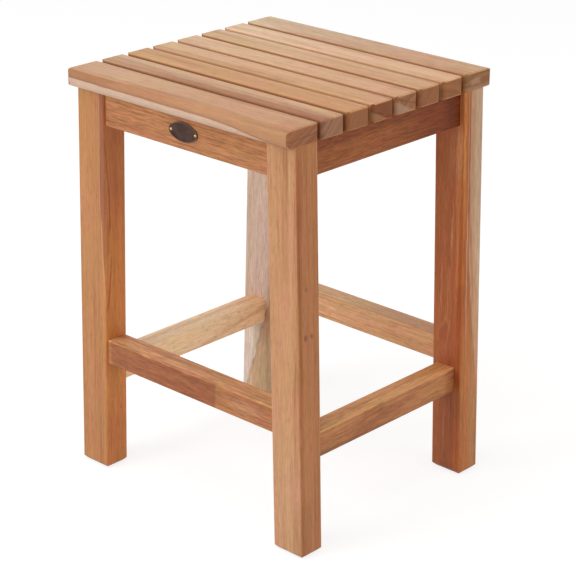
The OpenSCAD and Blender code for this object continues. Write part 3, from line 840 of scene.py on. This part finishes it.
# the floor, the strength of the surroundings, then the three lamps and the point they face, in metres and
# watts; what the camera sees of the floor is faint paper with a glow, and all else sees the plain paper
studio = {
    "floor": 6.0,
    "floorAt": (0, 0, -0.0004),
    "plain": (0.85, 0.84, 0.82, 1),
    "faint": (0.3, 0.3, 0.3, 1),
    "glow": 0.8,
    "white": (1, 1, 1, 1),
    "surroundings": 0.45,
    "aim": (0, 0, 0.25),
    "key": {"at": (-1.1, -2.9, 1.75), "size": 1.8, "power": 46.0, "colour": (1.0, 0.99, 0.97)},
    "top": {"at": (-0.2, -0.9, 2.9), "size": 1.8, "power": 24.0, "colour": (1.0, 0.99, 0.97)},
    "fill": {"at": (2.7, 0.5, 0.9), "size": 1.6, "power": 19.0, "colour": (1.0, 0.95, 0.88)},
}


def seenStraight(paint):
    # 1 for what the camera sees, straight or in a shiny face
    path = paint.node("ShaderNodeLightPath").outputs
    straight = paint.maths("MAXIMUM", path["Is Camera Ray"], path["Is Glossy Ray"])
    return paint.maths("MAXIMUM", straight, path["Is Transmission Ray"])


bpy.ops.object.select_all(action="DESELECT")
bpy.ops.mesh.primitive_plane_add(size=studio["floor"], location=studio["floorAt"])
floor = bpy.context.object
floor.name = "studioFloor"
paint = Paint(bpy.data.materials.new("studioPaper"))
plain = paint.node("ShaderNodeBsdfDiffuse", None, {"Color": studio["plain"]})
faint = paint.node("ShaderNodeBsdfDiffuse", None, {"Color": studio["faint"]})
glow = paint.node("ShaderNodeEmission", None, {"Color": studio["white"], "Strength": studio["glow"]})
seen = paint.node("ShaderNodeAddShader", None, {0: faint.outputs[0], 1: glow.outputs[0]})
either = paint.node("ShaderNodeMixShader", None,
                    {0: seenStraight(paint), 1: plain.outputs[0], 2: seen.outputs[0]})
paint.node("ShaderNodeOutputMaterial", None, {0: either.outputs[0]})
floor.data.materials.append(paint.owner)

bpy.context.scene.world = bpy.data.worlds.new("studioAir")
paint = Paint(bpy.context.scene.world)
strength = studio["surroundings"] + seenStraight(paint) * (1 - studio["surroundings"])
air = paint.node("ShaderNodeBackground", None, {"Color": studio["white"], "Strength": strength})
paint.node("ShaderNodeOutputWorld", None, {0: air.outputs[0]})


def lamp(name, settings):
    bpy.ops.object.light_add(type="AREA", location=settings["at"])
    made = bpy.context.object
    made.name = name
    made.data.size = settings["size"]
    made.data.energy = settings["power"]
    made.data.color = settings["colour"]
    aim = Vector(studio["aim"]) - Vector(settings["at"])
    made.rotation_euler = aim.to_track_quat("-Z", "Y").to_euler()


for name in ("key", "top", "fill"):
    lamp(name, studio[name])

# the camera of the photograph: degrees and metres, then the focal length and the picture's width in pixels
# and the sensor's width in millimetres
view = {"azimuth": 42.893, "elevation": 22.052, "roll": 0.311, "distance": 2.12044,
        "aimAcross": 0.00984, "aimUp": 0.21098, "focal": 1962.958, "picture": 576, "sensor": 36}
azimuth, elevation = math.radians(view["azimuth"]), math.radians(view["elevation"])
back = Vector((math.sin(azimuth) * math.cos(elevation), -math.cos(azimuth) * math.cos(elevation),
               math.sin(elevation)))
right = Vector((math.cos(azimuth), math.sin(azimuth), 0))
upward = back.cross(right)
aim = right * view["aimAcross"] + Vector((0, 0, view["aimUp"]))
roll = math.radians(view["roll"])
across = right * math.cos(roll) + upward * math.sin(roll)
upright = upward * math.cos(roll) - right * math.sin(roll)
bpy.ops.object.camera_add(location=aim + back * view["distance"])
camera = bpy.context.object
camera.rotation_euler = Matrix((across, upright, back)).transposed().to_euler()
camera.data.sensor_width = view["sensor"]
camera.data.lens = view["focal"] / view["picture"] * view["sensor"]
bpy.context.scene.camera = camera
bpy.context.scene.view_settings.view_transform = "Standard"
print("studio, lamps and camera set")
